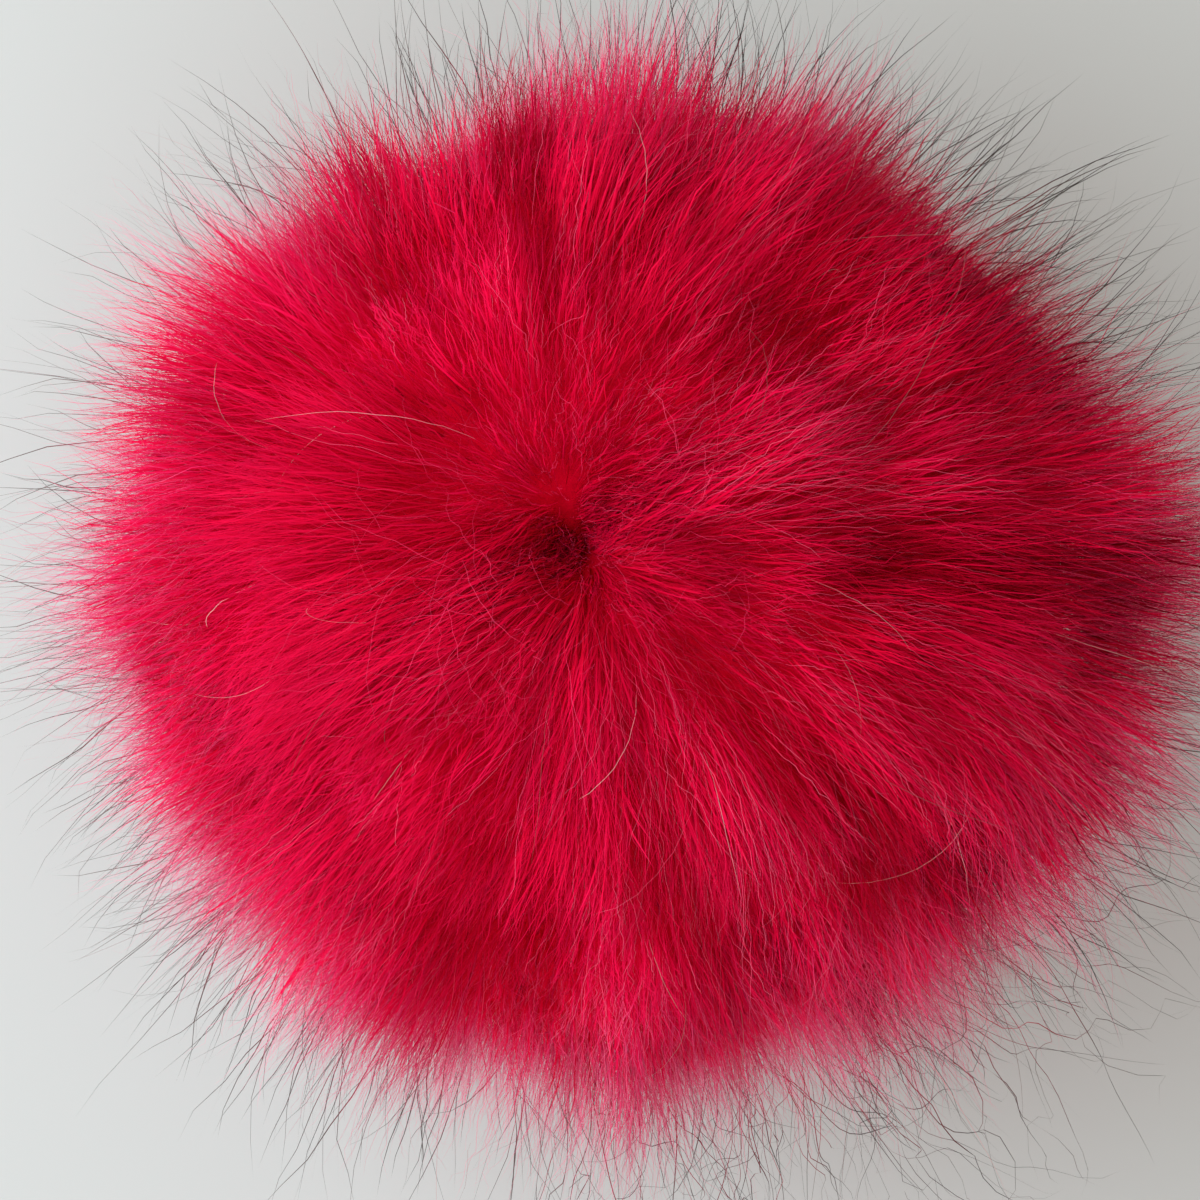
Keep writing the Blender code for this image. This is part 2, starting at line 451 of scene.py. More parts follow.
# Paler still towards the tip, for the rim: partly the fur's own paler tips, partly a painted sheen.
PALE_DEEP_FUR = (
    Stop(0.0, (0.82, 0.0020, 0.050)),
    Stop(0.5, (0.95, 0.0800, 0.220)),
    Stop(1.0, (0.97, 0.2800, 0.400)),
)
PALE_LIGHT_FUR = (
    Stop(0.0, (0.94, 0.0080, 0.095)),
    Stop(0.5, (0.98, 0.2200, 0.360)),
    Stop(1.0, (0.99, 0.5000, 0.590)),
)
# Lighter hairs for the frizz: their colour is partly a painted sheen highlight.
BRIGHT_DEEP_FUR = (
    Stop(0.0, (0.94, 0.0060, 0.080)),
    Stop(1.0, (0.98, 0.0600, 0.190)),
)
BRIGHT_LIGHT_FUR = (
    Stop(0.0, (1.00, 0.0400, 0.160)),
    Stop(1.0, (1.00, 0.2600, 0.400)),
)
DARK_GUARD = (
    Stop(0.0, (0.50, 0.0010, 0.022)),
    Stop(0.40, (0.42, 0.0060, 0.026)),
    Stop(0.60, (0.060, 0.0300, 0.030)),
    Stop(1.0, (0.035, 0.030, 0.027)),
)
PALE_GUARD = (
    Stop(0.0, (0.76, 0.0010, 0.040)),
    Stop(0.40, (0.62, 0.0300, 0.080)),
    Stop(0.60, (0.28, 0.1900, 0.180)),
    Stop(1.0, (0.300, 0.290, 0.270)),
)
DARK_STRAY = (
    Stop(0.0, (0.40, 0.0010, 0.015)),
    Stop(1.0, (0.060, 0.0080, 0.012)),
)
PALE_STRAY = (
    Stop(0.0, (1.00, 0.2000, 0.300)),
    Stop(1.0, (1.00, 0.5800, 0.570)),
)
# Darker than the hairs, as painted shade of the fur's depth.
MASS_FUR_PAINTED_SHADE = (
    Stop(0.3, (0.58, 0.0001, 0.016)),
    Stop(0.7, (0.76, 0.0004, 0.024)),
)
# Painted shade: what the fur dyes are multiplied by, from the lowest key up, darkening the hairs
# with the lowest keys, most of them in the painted-shade creases, the pit and the right side.
PAINTED_CREASE_SHADE = (
    Stop(0.0, (0.40, 0.40, 0.40)),
    Stop(0.20, (1.0, 1.0, 1.0)),
)

# Each dye runs from root to tip, and from deep to light by a hair's key, which carries painted light
# and shade. The fur dyes also take the painted crease shade.
Dye = namedtuple("Dye", "name deep light roughness specular creased")
DYES_AND_PAINTED_LIGHT = (
    Dye("deep_fur", DEEP_FUR, LIGHT_FUR, roughness=0.6, specular=0.03, creased=True),
    Dye("rosy_fur", ROSY_DEEP_FUR, ROSY_LIGHT_FUR, roughness=0.6, specular=0.03, creased=True),
    Dye("pale_fur", PALE_DEEP_FUR, PALE_LIGHT_FUR, roughness=0.6, specular=0.03, creased=True),
    Dye("bright_fur", BRIGHT_DEEP_FUR, BRIGHT_LIGHT_FUR, roughness=0.5, specular=0.1, creased=False),
    Dye("guard_hair", DARK_GUARD, PALE_GUARD, roughness=0.45, specular=0.2, creased=False),
    Dye("stray_hair", DARK_STRAY, PALE_STRAY, roughness=0.4, specular=0.2, creased=False),
)
# The map has a column for each step of the key, filled this far, and a margin at root and tip.
BAKE_MAP = "OFBake"
KEY_COLUMNS = 128
KEY_FILL = 0.7
MAP_MARGIN = 0.02

# The ball of fur behind the hairs: how far it stands out from the backing, its lumps as a share
# of that, which run down it in wandering streaks, and its surface.
Swell = namedtuple("Swell", "from_crown_deg out")
MASS_SWELLS = (
    Swell(0, 0.0),
    Swell(10, 0.0008),
    Swell(30, 0.0056),
    Swell(60, 0.0060),
    Swell(78, 0.0034),
    Swell(92, 0.0018),
    Swell(125, 0.0040),
    Swell(152, 0.0),
)
MASS_BANDS = 72
MASS_COLUMNS = 144
MASS_FIRST_ANGLE = 0.02
MASS_LUMPS = 0.15
MASS_COARSE_STREAKS = 23
MASS_FINE_STREAKS = 41
MASS_WANDER = 3
MASS_WANDERS = 3
MASS_LEAN = 2
MASS_GRAIN = 420
MASS_GRAIN_DETAIL = 5
MASS_BUMP = 0.0006
MASS_ROUGHNESS = 0.8
MASS_SPECULAR = 0.02

FLOOR_HALF = 1.5
FLOOR_COLOUR = (0.66, 0.66, 0.65, 1.0)
FLOOR_ROUGHNESS = 0.6

# Warm light from the room, and cool light from two soft windows.
ROOM_COLOUR = (1.0, 0.92, 0.81, 1.0)
ROOM_STRENGTH = 0.51
Window = namedtuple("Window", "name place size watts colour")
WINDOWS = (
    Window("window_left", place=(-0.42, 0.15, 0.38), size=0.60, watts=3.3, colour=(0.80, 0.94, 1.0)),
    Window("window_below", place=(-0.10, -0.52, 0.38), size=0.60, watts=1.7, colour=(0.78, 0.90, 1.0)),
)

# The photograph's frame, taken at the height of the rim, and the pixel over the body's middle.
PHOTO_PIXELS = 1200
METRES_A_PIXEL = 0.000115
BODY_MIDDLE_PX = (625, 605)
RIM_HEIGHT = 0.045
CAMERA_HEIGHT = 0.40
SENSOR = 36.0


# ---------------------------------------------------------------- the fur's field


def usual_length(degrees_from_crown):
    places = [row.from_crown_deg for row in LENGTHS]
    return np.interp(degrees_from_crown, places, [row.metres for row in LENGTHS])


def round_value(azimuth, table, field):
    """The field's value at each azimuth, on straight lines between the table's rows."""
    places = [row.azimuth_deg for row in table]
    return np.interp(np.degrees(azimuth), places, [getattr(row, field) for row in table], period=360)


def degrees_off(azimuth, azimuth_deg):
    return (np.degrees(azimuth) - azimuth_deg + 180) % 360 - 180


def ridge_field(angle, azimuth):
    """How far the mounds raise the fur at each place, and how far they turn it."""
    rise = np.zeros_like(azimuth)
    turn = np.zeros_like(azimuth)
    for ridge in RIDGES:
        off = degrees_off(azimuth, ridge.azimuth_deg) / ridge.width_deg
        down = (np.degrees(angle) - ridge.from_crown_deg) / ridge.reach_deg
        bell = np.exp(-(off**2) - down**2)
        rise += ridge.rise * bell
        turn -= math.radians(ridge.gather_deg) * off * bell
    return rise, turn


def streak_field(angle, azimuth):
    """How much lighter the fur's streaks are at each place, in parts of its key."""
    light = np.zeros_like(azimuth)
    for streak in STREAKS:
        light += streak.size * np.sin(streak.number * azimuth + streak.lean * angle + streak.shift)
    return light


def painted_light_field(hairs):
    """Painted light and shade, with the fine streaks: how much lighter or darker each hair is, in parts of
    its key.
    """
    light = CREASE_SHADE * ridge_field(hairs.angle, hairs.azimuth)[0]
    from_pit = np.hypot(hairs.root[:, 0] - CROWN_X, hairs.root[:, 1] - CROWN_Y)
    light = light - PIT_SHADE * np.exp(-((from_pit / PIT_RADIUS) ** 2))
    light = light + streak_field(hairs.angle, hairs.azimuth)
    return light - RIGHT_SHADE * np.cos(hairs.azimuth - RIGHT_AZIMUTH) * np.sin(hairs.angle)


def sweep_field(angle, azimuth):
    """How far the fur is swept sideways at each place."""
    sway = np.zeros_like(azimuth)
    for sweep in SWEEPS:
        across = degrees_off(azimuth, sweep.azimuth_deg) * np.sin(angle)
        down = np.degrees(angle) - sweep.from_crown_deg
        bell = np.exp(-(across**2 + down**2) / sweep.width_deg**2)
        sway += math.radians(sweep.sway_deg) * bell
    return sway


def outward(azimuth, steepness):
    level = np.cos(steepness)
    parts = (level * np.cos(azimuth), level * np.sin(azimuth), np.sin(steepness))
    return np.stack(parts, axis=-1)


def rise_of(angle):
    return np.where(angle < math.pi / 2, CROWN_RISE, FOOT_DROP)


def steepness_of(angle):
    return np.arctan2(np.cos(angle) / rise_of(angle), np.sin(angle) / WAIST_RADIUS)


def skin(angle, azimuth, out):
    """Points this far out from the backing."""
    towards_crown = np.maximum(np.cos(angle), 0.0)
    radius = WAIST_RADIUS * np.sin(angle)
    height = WAIST_HEIGHT + rise_of(angle) * np.cos(angle)
    height = height - DIMPLE_DEPTH * towards_crown * np.exp(-((radius / DIMPLE_RADIUS) ** 2))
    middle = np.stack((CROWN_X * towards_crown**2, CROWN_Y * towards_crown**2, height), axis=-1)
    swell = ridge_field(angle, azimuth)[0] * np.sin(angle) * towards_crown**0.5
    point = middle + radius[..., None] * outward(azimuth, np.zeros_like(azimuth))
    return point + (swell + out)[..., None] * outward(azimuth, steepness_of(angle))


def unit(vectors):
    return vectors / np.maximum(np.linalg.norm(vectors, axis=-1, keepdims=True), 1e-12)


def ball_normal(points):
    """The way out of the ball at each point, tilted by the mounds' slopes."""
    from_middle = points - WAIST_HEIGHT * UP
    straight = unit(from_middle / np.array((BALL_RADIUS**2, BALL_RADIUS**2, BALL_RISE**2)))
    across = points[..., :2] - np.array((CROWN_X, CROWN_Y))
    azimuth = np.arctan2(across[..., 1], across[..., 0])
    from_crown = np.hypot(across[..., 0], across[..., 1])
    angle = np.arctan2(from_crown / BALL_RADIUS, from_middle[..., 2] / BALL_RISE)
    rise = ridge_field(angle, azimuth)[0]
    round_slope = (ridge_field(angle, azimuth + SLOPE_STEP)[0] - rise) / SLOPE_STEP
    down_slope = (ridge_field(angle + SLOPE_STEP, azimuth)[0] - rise) / SLOPE_STEP
    round_crown = np.stack((-np.sin(azimuth), np.cos(azimuth), np.zeros_like(azimuth)), axis=-1)
    down = outward(azimuth, -angle)
    tilt = round_slope[..., None] * round_crown + down_slope[..., None] * down
    return unit(straight - RIDGE_RELIEF / WAIST_RADIUS * tilt)


# ---------------------------------------------------------------- strands and their paths

Strand = namedtuple("Strand", "root angle azimuth sway lift length")


def rows_of(strands, index):
    return Strand(*(values[index] for values in strands))


def away_from_parting(root):
    """The azimuth from the nearest place on the parting to each root."""
    line = PARTING_END - PARTING_START
    share = ((root[:, :2] - PARTING_START) @ line / (line @ line)).clip(0, 1)
    away = root[:, :2] - PARTING_START - share[:, None] * line
    return np.arctan2(away[:, 1], away[:, 0])


def plant(chance, count, from_deg, to_deg, out=0.0, rim="haze"):
    """Strands with even spacing by area between two angles from the crown."""
    bands = np.radians(np.linspace(from_deg, to_deg, PLANTED_BANDS))
    slant = np.hypot(WAIST_RADIUS * np.cos(bands), rise_of(bands) * np.sin(bands))
    crowding = CROWN_CROWDING * np.exp(-bands / CROWDED_ANGLE)
    area = np.cumsum((np.sin(bands) + crowding) * slant)
    area = area - area[0]
    angle = np.interp(chance.random(count) * area[-1], area, bands)
    azimuth = chance.random(count) * TURN - math.pi
    turn = ridge_field(angle, azimuth)[1]
    at_rim = np.sin(angle) ** RIM_SHARPNESS
    length = usual_length(np.degrees(angle)) * (1 + (round_value(azimuth, REACHES, rim) - 1) * at_rim)
    root = skin(angle, azimuth, np.full(count, out))
    sway = sweep_field(angle, azimuth)
    way = away_from_parting(root) + turn * np.sin(angle)
    return Strand(root, angle, way, sway, np.zeros(count), length)


def stir(strands, chance, turn_deg, sway_deg, lift_deg, length_noise=0.0):
    """The same strands, each turned, bent, lifted and lengthened by chance."""
    count = len(strands.length)
    room = ROOM_AT_CROWN + (1 - ROOM_AT_CROWN) * np.sin(strands.angle)
    azimuth = strands.azimuth + room * chance.normal(0, math.radians(turn_deg), count)
    sway = strands.sway + chance.normal(0, math.radians(sway_deg), count)
    lift = strands.lift + chance.normal(0, math.radians(lift_deg), count)
    longer = chance.normal(0, length_noise, count).clip(-MOST_LENGTH_NOISE, MOST_LENGTH_NOISE)
    return strands._replace(azimuth=azimuth, sway=sway, lift=lift, length=strands.length * (1 + longer))


def grow(strands, along):
    """Points on each strand at these shares of its length, by Simpson's rule on its direction."""
    height = np.clip(strands.root[:, 2] / WAIST_HEIGHT, 0, 1)
    steep = steepness_of(strands.angle)
    droop = DROOP + SHOULDER_DROOP * np.maximum(np.sin(2 * strands.angle), 0)
    start = ((ROOT_STEEPNESS * steep + strands.lift) * height)[:, None]
    end = ((TIP_STEEPNESS * steep + strands.lift * TIP_LIFT - droop) * height)[:, None]
    azimuth, sway = strands.azimuth[:, None], strands.sway[:, None]

    def way(share):
        return outward(azimuth + sway * share, start + (end - start) * share)

    walk = way(np.zeros_like(along)) + 4 * way(along / 2) + way(along)
    walk *= (along * strands.length[:, None] / 6)[:, :, None]
    return strands.root[:, None, :] + walk


def nearest(points, guides):
    """The index of the guide nearest to each point."""
    tree = KDTree(len(guides))
    for i, guide in enumerate(guides):
        tree.insert(guide, i)
    tree.balance()
    return np.array([tree.find(point)[1] for point in points])


def gathered(paths, guides, pull, along):
    """Paths drawn towards their guides, more so towards their tips."""
    weight = np.clip(pull * np.clip(along, 0, PULL_END) ** PULL_GROWTH, 0, MOST_PULL)
    return paths + (guides - paths) * weight[:, :, None]


def aside(paths):
    """The way out of the ball at each point of the paths, and the way across them."""
    out = ball_normal(paths)
    return out, unit(np.cross(out, np.gradient(paths, axis=1)))


def waved(paths, wave, chance):
    """Paths with a crimp that swings this far across them, and half as far in and out."""
    count = len(paths)
    steps = np.linalg.norm(np.diff(paths, axis=1), axis=2)
    distance = np.concatenate((np.zeros((count, 1)), np.cumsum(steps, axis=1)), axis=1)
    turns = TURN * distance / chance.uniform(*WAVELENGTHS, (count, 1))
    phase = chance.uniform(0, TURN, (count, 1))
    size = wave * chance.uniform(*WAVE_SIZES, (count, 1))
    out, side = aside(paths)
    swing = size * np.sin(turns + phase)
    bob = size * BOB_SIZE * np.sin(BOB_PACE * turns + 2 * phase)
    return paths + side * swing[:, :, None] + out * bob[:, :, None]


def bent(paths, step, amount, chance):
    """Paths with a smooth bend of this amount towards their tips, each its own way."""
    count = len(paths)
    bow = chance.normal(0, amount, (count, 1, 3)) * (step**2)[None, :, None]
    hook = chance.normal(0, amount * HOOK_SIZE, (count, 1, 3)) * (step**4)[None, :, None]
    return paths + bow + hook


def curled(paths, sizes, chance):
    """Paths that swing from side to side by these sizes, more so towards their tips."""
    count, points, _ = paths.shape
    step = np.linspace(0, 1, points)
    reach = np.linalg.norm(paths[:, -1] - paths[:, 0], axis=1)
    turns = TURN * reach / (CURL_LENGTH * chance.uniform(*CURL_LENGTHS, count))
    phase = chance.uniform(0, TURN, (count, 2))
    out, side = aside(paths)
    size = sizes[:, None] * step**CURL_GROWTH
    swing = size * np.sin(turns[:, None] * step + phase[:, :1])
    bob = size * np.sin(turns[:, None] * step + phase[:, 1:])
    return paths + side * swing[:, :, None] + out * bob[:, :, None]


def kept_in_bounds(paths):
    """Paths that stay off the floor, and that ease off under a ceiling and inside a fence."""
    height = np.maximum(paths[:, :, 2], FLOOR_CLEARANCE)
    over = np.maximum(height - CEILING, 0)
    paths[:, :, 2] = np.minimum(height, CEILING) + CEILING_GIVE * np.tanh(over / CEILING_GIVE)
    reach = np.hypot(paths[:, :, 0], paths[:, :, 1])
    past = np.maximum(reach - FENCE, 0)
    eased = np.minimum(reach, FENCE) + FENCE_GIVE * np.tanh(past / FENCE_GIVE)
    paths[:, :, :2] *= (eased / np.maximum(reach, FLOOR_CLEARANCE))[:, :, None]
    return paths


# ---------------------------------------------------------------- from paths to meshes


def tapered(chance, count, width, sizes, step, widest_at, root, tip):
    """The width of each strand at each step, thinner at its root and its tip."""
    taper = np.interp(step, (step[0], widest_at, 1), (root, 1.0, tip))
    return (chance.uniform(*sizes, count) * width)[:, None] * taper


def mesh_from(name, verts, faces_of_size, uvs_of_size, normals):
    """A mesh from arrays of vertices and, for each number of corners, faces and their map."""
    mesh = bpy.data.meshes.new(name)
    corners = np.concatenate([faces.ravel() for faces in faces_of_size])
    sizes = np.concatenate([np.full(len(faces), faces.shape[1]) for faces in faces_of_size])
    starts = np.concatenate(([0], np.cumsum(sizes)[:-1]))
    mesh.vertices.add(len(verts))
    mesh.vertices.foreach_set("co", verts.astype(np.float32).ravel())
    mesh.loops.add(len(corners))
    mesh.loops.foreach_set("vertex_index", corners.astype(np.int32))
    mesh.polygons.add(len(sizes))
    mesh.polygons.foreach_set("loop_start", starts.astype(np.int32))
    mesh.polygons.foreach_set("use_smooth", np.ones(len(sizes), bool))
    mesh.update(calc_edges=True)
    layer = mesh.uv_layers.new(name=BAKE_MAP)
    uvs = np.concatenate([uvs.reshape(-1, 2) for uvs in uvs_of_size])
    layer.uv.foreach_set("vector", uvs.astype(np.float32).ravel())
    mesh.normals_split_custom_set_from_vertices(normals.astype(np.float32))
    return mesh


def strand_mesh(name, paths, widths, keys, chance, tilt=0.0, roll_deg=COAT_ROLL_DEG):
    """Tapering strands as flat ribbons that end in a point.

    A ribbon faces out of the ball, give or take its roll, and is shaded as that side of a round
    hair. On the map a strand's key picks its column, and the way to its tip runs up it.
    """
    count, points, _ = paths.shape
    rings = points - 1
    along = unit(np.gradient(paths, axis=1))
    out = unit(ball_normal(paths) + tilt)
    face = unit(out + FACE_UP * UP + chance.normal(0, FACE_UNEVENNESS, (count, 1, 3)))
    side = unit(np.cross(face, along))
    front = np.cross(along, side)
    roll = chance.normal(0, math.radians(roll_deg), (count, 1, 1)).clip(-MOST_ROLL, MOST_ROLL)
    turned = (side * np.cos(roll) + front * np.sin(roll)) * (widths / 2)[:, :, None]
    pairs = np.stack((paths + turned, paths - turned), axis=2)
    verts = np.concatenate((pairs[:, :rings].reshape(count, -1, 3), paths[:, -1:]), axis=1)
    shade = unit(FRONT_SHARE * front + (1 - FRONT_SHARE) * out)
    normals = np.concatenate((np.repeat(shade[:, :rings], 2, axis=1), shade[:, -1:]), axis=1)

    ring = 2 * np.arange(rings - 1)
    quads = np.stack((ring, ring + 1, ring + 3, ring + 2), -1)
    last = 2 * (rings - 1)
    tips = np.array(((last, last + 1, last + 2),))
    base = (np.arange(count) * (2 * rings + 1))[:, None, None]
    faces = [(quads[None] + base).reshape(-1, 4), (tips[None] + base).reshape(-1, 3)]

    heights = np.linspace(MAP_MARGIN, 1 - MAP_MARGIN, points)
    half = KEY_FILL / 2 / KEY_COLUMNS
    column = (np.floor(np.clip(keys, 0, 0.999) * KEY_COLUMNS) + 0.5) / KEY_COLUMNS

    def laid(u, v):
        across = column[:, None, None] + u[None]
        return np.stack((across, np.broadcast_to(v, across.shape)), -1).reshape(-1, u.shape[1], 2)

    quad_u = np.tile(np.array((-half, half, half, -half)), (len(quads), 1))
    tip_u = np.array(((-half, half, 0.0),))
    uvs = [laid(quad_u, heights[quads // 2]), laid(tip_u, heights[tips // 2])]
    return mesh_from(name, verts.reshape(-1, 3), faces, uvs, normals.reshape(-1, 3))


def add_piece(name, mesh, material):
    piece = bpy.data.objects.new(name, mesh)
    bpy.context.scene.collection.objects.link(piece)
    mesh.materials.append(material)
    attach(piece, BODY)
    return piece


# ---------------------------------------------------------------- materials


def new_material(name, roughness, specular):
    """A material with its nodes, their links and its shader."""
    material = bpy.data.materials.new(name)
    material.use_nodes = True
    nodes, links = material.node_tree.nodes, material.node_tree.links
    shader = nodes["Principled BSDF"]
    shader.inputs["Roughness"].default_value = roughness
    shader.inputs["Specular IOR Level"].default_value = specular
    return material, nodes, links, shader


def ramp(nodes, stops):
    node = nodes.new("ShaderNodeValToRGB")
    elements = node.color_ramp.elements
    while len(elements) < len(stops):
        elements.new(0.5)
    for element, stop in zip(elements, stops):
        element.position = stop.at
        element.color = (*stop.colour, 1.0)
    return node


def mix(nodes, blend):
    """A node that mixes colours, with its two colour inputs and its colour output."""
    node = nodes.new("ShaderNodeMix")
    node.data_type = "RGBA"
    node.blend_type = blend
    first, second = [socket for socket in node.inputs if socket.type == "RGBA"]
    result = [socket for socket in node.outputs if socket.type == "RGBA"][0]
    return node, first, second, result


def hair_material(dye):
    """Hair whose colour runs from root to tip, from the deep ramp to the light one by its key, which
    carries painted light and shade. Where a dye takes it, a painted crease shade darkens the lowest keys.
    """
    material, nodes, links, shader = new_material(dye.name, dye.roughness, dye.specular)
    place = nodes.new("ShaderNodeUVMap")
    place.uv_map = BAKE_MAP
    split = nodes.new("ShaderNodeSeparateXYZ")
    links.new(place.outputs["UV"], split.inputs["Vector"])
    blend, deep, light, colour = mix(nodes, "MIX")
    links.new(split.outputs["X"], blend.inputs["Factor"])
    for stops, socket in ((dye.deep, deep), (dye.light, light)):
        node = ramp(nodes, stops)
        links.new(split.outputs["Y"], node.inputs["Fac"])
        links.new(node.outputs["Color"], socket)
    # Painted shade: the lowest keys, mostly in creases, in the pit and on the right side, are darkened.
    if dye.creased:
        darker, first, second, darkened = mix(nodes, "MULTIPLY")
        darker.inputs["Factor"].default_value = 1.0
        node = ramp(nodes, PAINTED_CREASE_SHADE)
        links.new(split.outputs["X"], node.inputs["Fac"])
        links.new(colour, first)
        links.new(node.outputs["Color"], second)
        colour = darkened
    links.new(colour, shader.inputs["Base Color"])
    return material


def mass_material():
    """The fur behind the modelled hairs: deep red with a fine grain, darker than the hairs as painted
    shade of the fur's depth.
    """
    material, nodes, links, shader = new_material("fur_mass", MASS_ROUGHNESS, MASS_SPECULAR)
    noise = nodes.new("ShaderNodeTexNoise")
    noise.inputs["Scale"].default_value = MASS_GRAIN
    noise.inputs["Detail"].default_value = MASS_GRAIN_DETAIL
    place = nodes.new("ShaderNodeTexCoord")
    links.new(place.outputs["Object"], noise.inputs["Vector"])
    shades = ramp(nodes, MASS_FUR_PAINTED_SHADE)
    links.new(noise.outputs["Fac"], shades.inputs["Fac"])
    links.new(shades.outputs["Color"], shader.inputs["Base Color"])
    bump = nodes.new("ShaderNodeBump")
    bump.inputs["Distance"].default_value = MASS_BUMP
    links.new(noise.outputs["Fac"], bump.inputs["Height"])
    links.new(bump.outputs["Normal"], shader.inputs["Normal"])
    return material


# ---------------------------------------------------------------- the ball of fur


def make_mass():
    """The ball of fur behind the hairs, closed over its foot, with a streaky lumpy surface."""
    angle = np.linspace(MASS_FIRST_ANGLE, FOOT_ANGLE, MASS_BANDS)[:, None]
    azimuth = np.linspace(-math.pi, math.pi, MASS_COLUMNS, endpoint=False)[None, :]
    angle, azimuth = np.broadcast_arrays(angle, azimuth)
    places = [row.from_crown_deg for row in MASS_SWELLS]
    out = np.interp(np.degrees(angle), places, [row.out for row in MASS_SWELLS])
    streaks = np.sin(azimuth * MASS_COARSE_STREAKS + MASS_WANDER * np.sin(angle * MASS_WANDERS))
    streaks = streaks * np.sin(azimuth * MASS_FINE_STREAKS - MASS_LEAN * angle)
    spots = skin(angle, azimuth, out * (1 + MASS_LUMPS * streaks)).reshape(-1, 3)
    spots[:, 2] = np.maximum(spots[:, 2], 0.0)
    crown = skin(np.zeros(1), np.zeros(1), np.zeros(1))
    foot = np.array([[spots[-MASS_COLUMNS:, 0].mean(), spots[-MASS_COLUMNS:, 1].mean(), 0.0]])
    verts = np.concatenate((spots, crown, foot))
    column = np.arange(MASS_COLUMNS)
    after = (column + 1) % MASS_COLUMNS
    upper = np.arange(MASS_BANDS - 1)[:, None] * MASS_COLUMNS
    lower = upper + MASS_COLUMNS
    quads = np.stack((upper + column, lower + column, lower + after, upper + after), -1)
    last = (MASS_BANDS - 1) * MASS_COLUMNS
    top = np.stack((np.full(MASS_COLUMNS, len(verts) - 2), column, after), -1)
    base = np.stack((np.full(MASS_COLUMNS, len(verts) - 1), last + after, last + column), -1)
    mesh = bpy.data.meshes.new("fur_mass")
    faces = quads.reshape(-1, 4).tolist() + top.tolist() + base.tolist()
    mesh.from_pydata(verts.tolist(), [], faces)
    mesh.shade_smooth()
    piece = add_piece("fur_mass", mesh, mass_material())
    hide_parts(NODE)


# ---------------------------------------------------------------- the coats

Guides = namedtuple(
    "Guides", "locks tufts wisps lock_of_tuft tuft_of_wisp key_of_wisp reach_of_tuft pull_of_wisp"
)


def make_level(level, chance):
    strands = plant(chance, level.count, level.from_deg, level.to_deg)
    return stir(strands, chance, level.turn_deg, level.sway_deg, level.lift_deg, level.length_noise)


def make_guides(chance):
    """The locks, tufts and wisps that every coat is drawn to."""
    locks = make_level(LOCKS, chance)
    tufts = make_level(TUFTS, chance)
    wisps = make_level(WISPS, chance)
    lock_of_tuft = nearest(tufts.root, locks.root)
    tuft_of_wisp = nearest(wisps.root, tufts.root)
    key_of_tuft = chance.normal(0, LOCKS.key_noise, LOCKS.count)[lock_of_tuft]
    key_of_tuft = key_of_tuft + chance.normal(0, TUFTS.key_noise, TUFTS.count)
    key_of_wisp = key_of_tuft[tuft_of_wisp] + chance.normal(0, WISPS.key_noise, WISPS.count)
    reach_of_tuft = chance.normal(1, LOCK_REACH_NOISE, LOCKS.count)[lock_of_tuft]
    reach_of_tuft = reach_of_tuft + chance.normal(0, TUFT_REACH_NOISE, TUFTS.count)
    pull_of_wisp = chance.uniform(*WISP_PULLS, WISPS.count)
    return Guides(
        locks, tufts, wisps, lock_of_tuft, tuft_of_wisp, key_of_wisp, reach_of_tuft, pull_of_wisp
    )


def planted_coat(coat, chance):
    """A coat's hairs. Where it favours places, they are the best placed of many."""
    if not coat.favour:
        return plant(chance, coat.hairs, coat.from_deg, coat.to_deg, rim=coat.rim)
    choices = FAVOUR_CHOICES * coat.hairs
    hairs = plant(chance, choices, coat.from_deg, coat.to_deg, rim=coat.rim)
    merit = ridge_field(hairs.angle, hairs.azimuth)[0] / FAVOUR_RISE + np.cos(hairs.azimuth)
    merit = coat.favour * merit + chance.normal(0, FAVOUR_NOISE, choices)
    return rows_of(hairs, np.argsort(-merit)[: coat.hairs])


def shares_along(coat, angle, from_lock, reach, step, chance):
    """The shares of its length at which each hair of a coat has its points."""
    point = 1 + LOCK_POINT * (LOCK_POINT_AT - from_lock)
    share = chance.normal(coat.reach, coat.spread, coat.hairs) * reach * point
    most = MOST_REACH * coat.reach + MOST_SPREAD * coat.spread
    share = share.clip(coat.bare + LEAST_SHOWN, most)
    bare = coat.bare * np.clip(angle / BARED_ANGLE, LEAST_BARED, 1)
    return bare[:, None] + (share - bare)[:, None] * step


